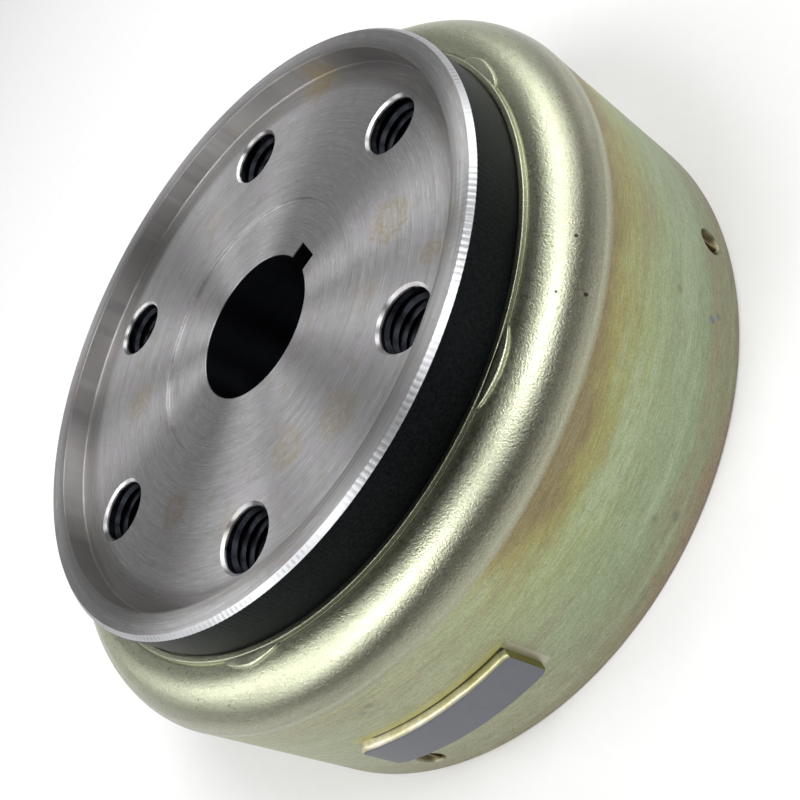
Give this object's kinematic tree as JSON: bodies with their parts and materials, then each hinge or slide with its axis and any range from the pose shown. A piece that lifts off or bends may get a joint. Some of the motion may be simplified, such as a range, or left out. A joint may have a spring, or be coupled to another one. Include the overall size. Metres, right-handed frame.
{
  "type": "magneto flywheel",
  "caption": "Magneto flywheel: a plated steel cup lined with arc magnets, on a machined hub with a keyed taper bore and threaded starter-clutch holes.",
  "frame": {"origin": "on the spin axis, at the centre of the bolt circle, on the floor of the recess in the machined face", "axes": "+Z along the spin axis out of the machined face, +X through the first threaded hole"},
  "size_m": [0.0982, 0.0982, 0.0376],
  "materials": {
    "machined_steel": "turned bright steel face, blackened outer band",
    "zinc_plate": "satin iridescent yellow zinc plate with fine turned lines",
    "ground_steel": "ground slate-grey face, plated edges",
    "weld_metal": "lumpy, plated over",
    "ferrite": "matt pressed ferrite",
    "cage_plastic": "moulded, matt",
    "sleeve_steel": "drawn stainless sheet",
    "resin": "poured epoxy, slightly wavy"
  },
  "bodies": {
    "root": {"hub": "machined_steel", "rotor_shell": "zinc_plate", "trigger_lug": "ground_steel", "weld_beads": "weld_metal", "magnet_cage": "cage_plastic", "magnet_sleeve": "sleeve_steel", "potting_ring": "resin", "magnet_01": "ferrite", "magnet_02": "ferrite", "magnet_03": "ferrite", "magnet_04": "ferrite", "magnet_05": "ferrite", "magnet_06": "ferrite", "magnet_07": "ferrite", "magnet_08": "ferrite", "magnet_09": "ferrite", "magnet_10": "ferrite", "magnet_11": "ferrite", "magnet_12": "ferrite"}
  },
  "joints": []
}
